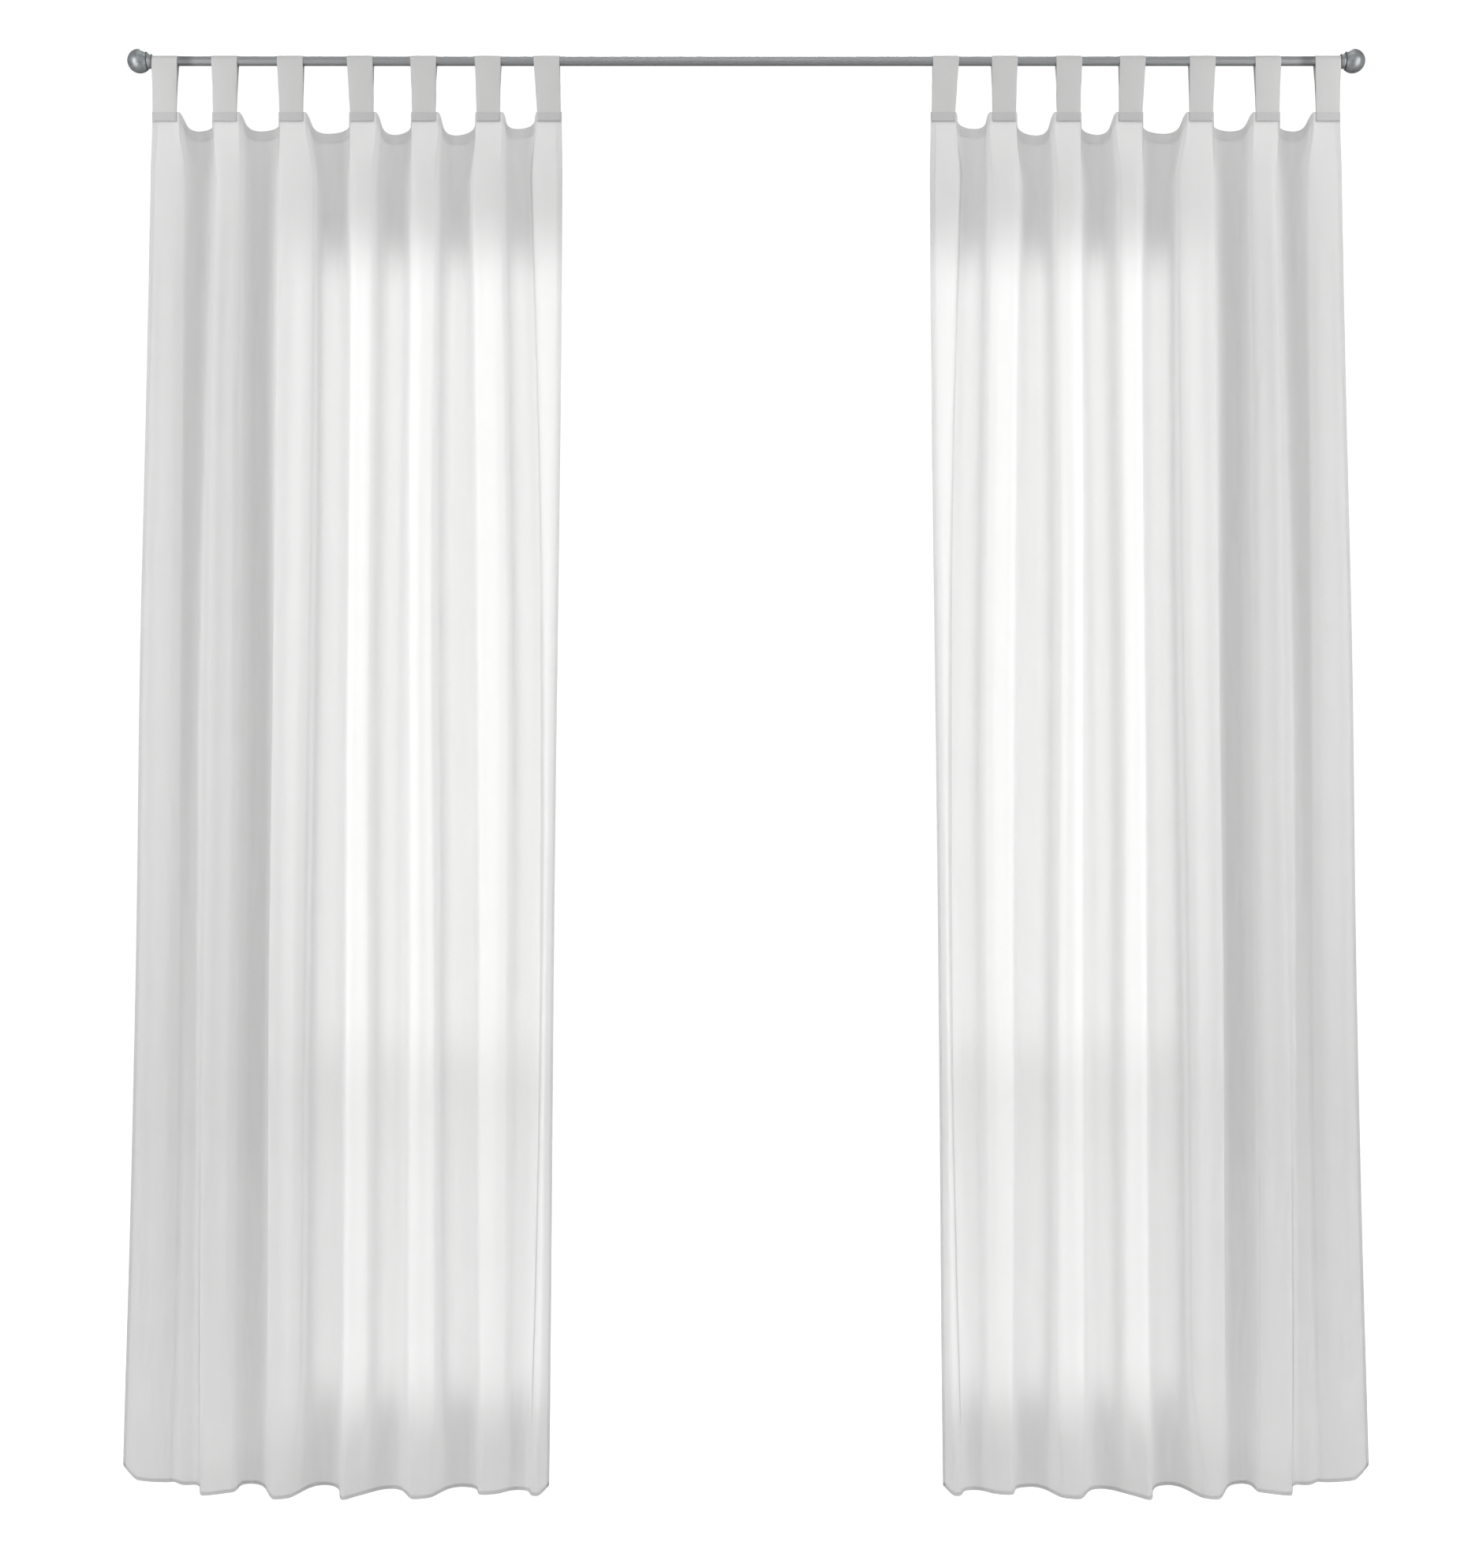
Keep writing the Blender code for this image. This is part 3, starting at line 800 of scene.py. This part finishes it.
def voile_material(name, colours, thread_openness, gap_openness, hem_openness, through_share,
                   sewn_length=0.0):
    """Voile whose threads and gaps let through the given shares of what is behind. The turned
    layers of a hem, which lie outside the finished size on the flat cloth, let through more. A
    tab's ends, sewn over the heading, get painted shade: a darker colour for the light that the
    more layers behind them hold back."""
    material, tree = new_material(name)
    flat = add_node(tree, "ShaderNodeTexCoord", {}, {})
    places = add_node(tree, "ShaderNodeSeparateXYZ", {}, {"Vector": flat.outputs["UV"]})
    gaps = []
    for axis in ("X", "Y"):
        thread = add_node(
            tree, "ShaderNodeMath", {"operation": "PINGPONG"},
            {0: places.outputs[axis], 1: THREAD_SPACING / 2})
        gaps.append(add_node(
            tree, "ShaderNodeMapRange", {"interpolation_type": "SMOOTHSTEP"},
            {"Value": thread.outputs[0], "From Min": GAP_EDGE_START, "From Max": GAP_EDGE_END}))
    gap = add_node(
        tree, "ShaderNodeMath", {"operation": "MULTIPLY"},
        {0: gaps[0].outputs["Result"], 1: gaps[1].outputs["Result"]})
    slubs = []
    for scale in ((1 / SLUB_WIDTH, 1 / SLUB_LENGTH, 1), (1 / SLUB_LENGTH, 1 / SLUB_WIDTH, 1)):
        stretched = add_node(
            tree, "ShaderNodeMapping", {}, {"Vector": flat.outputs["UV"], "Scale": scale})
        slubs.append(add_node(
            tree, "ShaderNodeTexNoise", {},
            {"Vector": stretched.outputs["Vector"], "Scale": 1.0, "Detail": 2.0}))
    slub = add_node(
        tree, "ShaderNodeMath", {"operation": "MULTIPLY_ADD"},
        {0: slubs[1].outputs[0], 1: 0.5, 2: slubs[0].outputs[0]})
    uneven = add_node(
        tree, "ShaderNodeMapRange", {},
        {"Value": slub.outputs[0], **SLUB_RANGE, "To Min": UNEVENNESS, "To Max": -UNEVENNESS})
    weave_openness = add_node(
        tree, "ShaderNodeMapRange", {},
        {"Value": gap.outputs[0], "To Min": thread_openness, "To Max": gap_openness})
    between_sides = add_node(
        tree, "ShaderNodeMath", {"operation": "COMPARE"},
        {0: places.outputs["X"], 1: FLAT_WIDTH / 2, 2: FLAT_WIDTH / 2})
    between_ends = add_node(
        tree, "ShaderNodeMath", {"operation": "COMPARE"},
        {0: places.outputs["Y"], 1: -PANEL_LENGTH / 2, 2: PANEL_LENGTH / 2})
    on_face = add_node(
        tree, "ShaderNodeMath", {"operation": "MULTIPLY"},
        {0: between_sides.outputs[0], 1: between_ends.outputs[0]})
    hem_share = add_node(
        tree, "ShaderNodeMapRange", {},
        {"Value": on_face.outputs[0], "To Min": hem_openness, "To Max": 0.0})
    woven = add_node(
        tree, "ShaderNodeMath", {"operation": "ADD"},
        {0: weave_openness.outputs["Result"], 1: uneven.outputs["Result"]})
    openness = add_node(
        tree, "ShaderNodeMath", {"operation": "ADD", "use_clamp": True},
        {0: woven.outputs[0], 1: hem_share.outputs["Result"]})
    shade = add_node(
        tree, "ShaderNodeMapRange", {}, {"Value": slub.outputs[0], **SLUB_RANGE})
    colour = add_node(
        tree, "ShaderNodeMix", {"data_type": "RGBA"},
        {"Factor": shade.outputs["Result"],
         6: linear(colours[0]), 7: linear(colours[1])})
    # Painted shade on a tab's sewn ends: a darker colour for the light the layers behind hold
    # back
    if sewn_length:
        from_middle = add_node(
            tree, "ShaderNodeMath", {"operation": "ADD"},
            {0: places.outputs["Y"], 1: TAB_LENGTH / 2})
        from_fold = add_node(
            tree, "ShaderNodeMath", {"operation": "ABSOLUTE"}, {0: from_middle.outputs[0]})
        seam = TAB_LENGTH / 2 - sewn_length
        sewn = add_node(
            tree, "ShaderNodeMapRange", {"interpolation_type": "SMOOTHSTEP"},
            {"Value": from_fold.outputs[0],
             "From Min": seam - OVERLAP_SHADE_EDGE, "From Max": seam + OVERLAP_SHADE_EDGE})
        colour = add_node(
            tree, "ShaderNodeMix", {"data_type": "RGBA"},
            {"Factor": sewn.outputs["Result"], 6: colour.outputs[2], 7: linear(OVERLAP_SHADE_COLOUR)})
    bump = add_node(
        tree, "ShaderNodeBump", {"invert": True},
        {"Strength": 0.25, "Distance": 0.0001, "Height": gap.outputs[0]})
    face = add_node(
        tree, "ShaderNodeBsdfPrincipled", {},
        {"Base Color": colour.outputs[2], "Roughness": 0.75, "Specular IOR Level": 0.3,
         "Sheen Weight": 0.12, "Normal": bump.outputs["Normal"]})
    through = add_node(
        tree, "ShaderNodeBsdfTranslucent", {}, {"Color": colour.outputs[2]})
    cloth = add_node(
        tree, "ShaderNodeMixShader", {},
        {"Fac": through_share, 1: face.outputs[0], 2: through.outputs[0]})
    clear = add_node(tree, "ShaderNodeBsdfTransparent", {}, {})
    sheer = add_node(
        tree, "ShaderNodeMixShader", {},
        {"Fac": openness.outputs[0], 1: cloth.outputs[0], 2: clear.outputs[0]})
    add_node(tree, "ShaderNodeOutputMaterial", {}, {"Surface": sheer.outputs[0]})
    return material


voile = voile_material(
    "polyester_voile", VOILE_COLOURS, thread_openness=0.22, gap_openness=0.60,
    hem_openness=0.45, through_share=0.40)
panel_rows = []
for below, behind, flat_down in row_places():
    row = cloth_row(below / PANEL_LENGTH, behind)
    panel_rows.append([(point, flat_across, flat_down) for point, flat_across in row])
for word, side in SIDES:
    mesh = sheet_mesh("voile_panel_" + word, panel_rows, side)
    add_piece(
        "voile_panel_" + word, mesh, voile, "panel_" + word)


# The tabs: seven to a panel, each a strip of voile sewn into a flat tube, turned right side out,
# folded over the rod and sewn through both faces of the heading.
TAB_COLOURS = ("#f5f5f4", "#ececec")
TAB_WIDTH_AT_ROD = 0.044
TAB_WIDTH_AT_BASE = 0.040
TAB_OVERLAP = 0.016
TAB_THICKNESS = 0.0008
TAB_LAYER = 0.0015
TAB_LOOP_RADIUS = 0.0086
TAB_END_STEPS = 4
TAB_LEG_STEPS = 20
TAB_ARC_STEPS = 18
TAB_CUP = 0.0022
TAB_PUFF_POWER = 8
TAB_ACROSS = (1.0, 0.985, 0.95, 0.86, 0.72, 0.55, 0.37, 0.19, 0.0)

# The edges wobble and the face creases, each tab in its own way
WOBBLE_HEIGHT = 0.0007
WOBBLES_PER_METRE = 45
WOBBLE_SHIFT = 3.1
TAB_CREASE_HEIGHT = 0.0009
TAB_CREASES_PER_METRE = 22
TAB_CREASES_ACROSS = 1.6
TAB_CREASE_SHIFT = 5.3


def tab_path():
    """The tab's middle line seen from its side: up the front, over the rod, down the back.
    Each point has its direction away from the tab's inside, and its share of the leg."""
    reach = math.hypot(TAB_LAYER, HEADING_DROP)
    below = math.acos(TAB_LOOP_RADIUS / reach) + math.atan2(TAB_LAYER, HEADING_DROP)
    first = 1.5 * math.pi - below
    last = below - 0.5 * math.pi
    touch = Vector((math.cos(first), math.sin(first))) * TAB_LOOP_RADIUS
    leg = []
    for step in range(TAB_END_STEPS):
        height = -HEADING_DROP - TAB_OVERLAP * (1 - step / TAB_END_STEPS)
        leg.append((Vector((-TAB_LAYER, height)), Vector((-1, 0)), 0.0))
    for step in range(TAB_LEG_STEPS):
        share = step / TAB_LEG_STEPS
        point = Vector((-TAB_LAYER, -HEADING_DROP)).lerp(touch, share)
        leg.append((point, Vector((math.cos(first), math.sin(first))), share))
    path = list(leg)
    for step in range(TAB_ARC_STEPS + 1):
        angle = first + (last - first) * step / TAB_ARC_STEPS
        out = Vector((math.cos(angle), math.sin(angle)))
        path.append((out * TAB_LOOP_RADIUS, out, 1.0))
    for point, out, share in reversed(leg):
        path.append((Vector((-point.x, point.y)), Vector((-out.x, out.y)), share))
    return path


def tab_rows(number, tab):
    """The flat tube's rows of points, for a tab of the right-hand panel."""
    across = [*TAB_ACROSS, *(-a for a in reversed(TAB_ACROSS[:-1]))]
    section = [(a, 1) for a in across] + [(a, -1) for a in reversed(across[:-1])]
    rows = []
    run = 0.0
    before = None
    for point, out, share in tab_path():
        if before is not None:
            run += (point - before).length
        before = point
        height_share = min(1.0, max(0.0, -point.y / HEADING_DROP))
        centre = tab.at_rod + (tab.at_base - tab.at_rod) * height_share
        half = (TAB_WIDTH_AT_ROD + (TAB_WIDTH_AT_BASE - TAB_WIDTH_AT_ROD) * height_share) / 2
        free = math.sin(math.pi * share)
        cup = TAB_CUP * free
        row = []
        flat_across = 0.0
        for a, face in section:
            at_edge = Vector((number * WOBBLE_SHIFT + a, run * WOBBLES_PER_METRE, 1.0))
            wobble = WOBBLE_HEIGHT * noise.noise(at_edge)
            puff = TAB_THICKNESS / 2 * math.sqrt(max(0.0, 1 - a ** TAB_PUFF_POWER))
            on_face = Vector((
                a * TAB_CREASES_ACROSS + number * TAB_CREASE_SHIFT,
                run * TAB_CREASES_PER_METRE, 4.0))
            crease = TAB_CREASE_HEIGHT * free * noise.noise(on_face)
            lift = face * puff - cup * a * a + crease
            place = point + out * lift
            row.append((
                Vector((centre + half * a + wobble * a * free, place.x, place.y)),
                flat_across, run))
            flat_across += half / (len(TAB_ACROSS) - 1)
        rows.append(row)
    return rows


doubled_voile = voile_material(
    "polyester_voile_doubled", TAB_COLOURS, thread_openness=0.03, gap_openness=0.16,
    hem_openness=0.0, through_share=0.25, sewn_length=0.0155)
for word, side in SIDES:
    for number, tab in enumerate(TABS, start=1):
        name = f"voile_tab_{word}_{number}"
        mesh = sheet_mesh(name, tab_rows(number, tab), side)
        shape = bmesh.new()
        shape.from_mesh(mesh)
        bmesh.ops.remove_doubles(shape, verts=shape.verts, dist=0.000001)
        bmesh.ops.holes_fill(shape, edges=shape.edges, sides=0)
        bmesh.ops.recalc_face_normals(shape, faces=shape.faces)
        shape.to_mesh(mesh)
        shape.free()
        piece = add_piece(name, mesh, doubled_voile, f"tab_{word}_{number}")


# The stitching: white polyester thread in a lockstitch, sunk a little into the cloth. It holds
# each panel's side hems, turned heading and rolled hem, and a box of it holds each tab.
STITCH_PITCH = 0.0034
STITCH_LENGTH = 0.0026
THREAD_WIDTH = 0.0005
THREAD_COLOURS = ("#ececeb", "#fdfdfc")
THREAD_THROUGH_SHARE = 0.45
THREAD_OPENNESS = 0.30
TWIST_SCALE = 320.0
SIDE_SEAM_PLACE = 0.0085
HEADING_SEAM_PLACE = 0.016
HEM_SEAM_PLACE = PANEL_LENGTH - 0.004
BESIDE_SEAM = 0.004
LIFT_ON_PANEL = 0.0001
MOST_TURNED_BACK = 0.3
TAB_BOX_WIDTH = 0.034
TAB_BOX_HEIGHT = 0.0115


# Spun polyester thread: white with a soft gloss and loose enough to let light through. Its twist
# is drawn as ridges about 1 mm apart, coarser than the real ones, so that they show
def spun_thread():
    material, tree = new_material("spun_polyester_thread")
    place = add_node(tree, "ShaderNodeTexCoord", {}, {})
    turned = add_node(
        tree, "ShaderNodeMapping", {},
        {"Vector": place.outputs["Object"], "Rotation": (0.6, 0.8, 0.4)})
    twist = add_node(
        tree, "ShaderNodeTexWave", {},
        {"Vector": turned.outputs["Vector"], "Scale": TWIST_SCALE, "Distortion": 0.5})
    shade = add_node(
        tree, "ShaderNodeMix", {"data_type": "RGBA"},
        {"Factor": twist.outputs[1], 6: linear(THREAD_COLOURS[0]), 7: linear(THREAD_COLOURS[1])})
    bump = add_node(
        tree, "ShaderNodeBump", {},
        {"Strength": 0.3, "Distance": 0.0001, "Height": twist.outputs[1]})
    face = add_node(
        tree, "ShaderNodeBsdfPrincipled", {},
        {"Base Color": shade.outputs[2], "Roughness": 0.5, "Sheen Weight": 0.1,
         "Normal": bump.outputs["Normal"]})
    through = add_node(
        tree, "ShaderNodeBsdfTranslucent", {}, {"Color": shade.outputs[2]})
    fibres = add_node(
        tree, "ShaderNodeMixShader", {},
        {"Fac": THREAD_THROUGH_SHARE, 1: face.outputs[0], 2: through.outputs[0]})
    clear = add_node(tree, "ShaderNodeBsdfTransparent", {}, {})
    loose = add_node(
        tree, "ShaderNodeMixShader", {},
        {"Fac": THREAD_OPENNESS, 1: fibres.outputs[0], 2: clear.outputs[0]})
    add_node(tree, "ShaderNodeOutputMaterial", {}, {"Surface": loose.outputs[0]})
    return material


def face_point(row, flat_place):
    """Where a row of the cloth's face has a place of the flat cloth."""
    face = [(point, across) for point, across, down in row if 0.0 <= across <= FLAT_WIDTH]
    for (point, across), (next_point, next_across) in zip(face, face[1:]):
        if next_across >= flat_place:
            share = (flat_place - across) / (next_across - across)
            return point.lerp(next_point, share)


def down_seam(rows, flat_place):
    """A seam down the face: points, each with the direction across the cloth there."""
    seam = []
    for row in rows:
        if 0.0 <= row[0][2] <= PANEL_LENGTH:
            point = face_point(row, flat_place)
            seam.append((point, face_point(row, flat_place + BESIDE_SEAM) - point))
    return seam


def across_seam(rows, flat_down, direction):
    """A seam across the face: points, each with the direction down the cloth there."""
    face_rows = [row for row in rows if 0.0 <= row[0][2] <= PANEL_LENGTH]
    nearest = min(range(len(face_rows)), key=lambda i: abs(face_rows[i][0][2] - flat_down))
    seam = []
    for here, beside in zip(face_rows[nearest], face_rows[nearest + direction]):
        if 0.0 <= here[1] <= FLAT_WIDTH:
            seam.append((here[0], beside[0] - here[0]))
    return seam


def stitch_shape():
    """One stitch, a small spindle of thread along Z: its points, and its faces by number."""
    shape = bmesh.new()
    bmesh.ops.create_uvsphere(shape, u_segments=5, v_segments=4, radius=0.5)
    bmesh.ops.scale(
        shape, verts=shape.verts, vec=(THREAD_WIDTH, THREAD_WIDTH, STITCH_LENGTH))
    shape.verts.index_update()
    points = [vert.co.copy() for vert in shape.verts]
    faces = [[vert.index for vert in face.verts] for face in shape.faces]
    shape.free()
    return points, faces


def sewn_places(seam, lift):
    """Where each stitch of a seam lies, at an even pitch, turned along the seam."""
    distances = distances_along([point for point, beside in seam])
    places = []
    index = 1
    for number in range(int(distances[-1] / STITCH_PITCH)):
        distance = (number + 0.5) * STITCH_PITCH
        while distances[index] < distance:
            index += 1
        before, beside = seam[index - 1]
        after = seam[index][0]
        share = (distance - distances[index - 1]) / (distances[index] - distances[index - 1])
        along = (after - before).normalized()
        out = along.cross(beside).normalized()
        if out.y > MOST_TURNED_BACK:
            out = -out
        turn = Matrix((out.cross(along), out, along)).transposed().to_4x4()
        places.append(Matrix.Translation(before.lerp(after, share) + out * lift) @ turn)
    return places


def sewn_mesh(name, seams, side, lift):
    """All the stitches of several seams in one smooth mesh."""
    points, faces = stitch_shape()
    mirror = Matrix.Diagonal((side, 1, 1, 1))
    shape = bmesh.new()
    for seam in seams:
        for place in sewn_places(seam, lift):
            verts = [shape.verts.new(mirror @ place @ point) for point in points]
            for face in faces:
                shape.faces.new([verts[number] for number in face[::side]])
    return finished_mesh(name, shape)


def tab_box(tab, facing):
    """The box sewn through a tab's end: facing is -1 on the front and 1 on the back."""
    out = facing * (TAB_LAYER + TAB_THICKNESS / 2)
    right, left = (tab.at_base + turn * TAB_BOX_WIDTH / 2 for turn in (1, -1))
    top = -HEADING_DROP - (TAB_OVERLAP - TAB_BOX_HEIGHT) / 2
    bottom = top - TAB_BOX_HEIGHT
    corners = ((left, top), (right, top), (right, bottom), (left, bottom), (left, top))
    return [
        [(Vector((x, out, z)), Vector((z - next_z, 0.0, next_x - x))),
         (Vector((next_x, out, next_z)), Vector((z - next_z, 0.0, next_x - x)))]
        for (x, z), (next_x, next_z) in zip(corners, corners[1:])]


thread = spun_thread()
panel_seams = [
    down_seam(panel_rows, SIDE_SEAM_PLACE),
    down_seam(panel_rows, FLAT_WIDTH - SIDE_SEAM_PLACE),
    across_seam(panel_rows, HEADING_SEAM_PLACE, 1),
    across_seam(panel_rows, HEM_SEAM_PLACE, -1),
]
front_boxes = [line for tab in TABS for line in tab_box(tab, -1)]
back_boxes = [line for tab in TABS for line in tab_box(tab, 1)]
for word, side in SIDES:
    name = "hem_stitching_" + word
    mesh = sewn_mesh(name, panel_seams, side, LIFT_ON_PANEL)
    hem_stitching = add_piece(name, mesh, thread, None)
    name = "tab_stitching_" + word
    mesh = sewn_mesh(name, front_boxes + back_boxes, side, 0.0)
    tab_stitching = add_piece(name, mesh, thread, None)
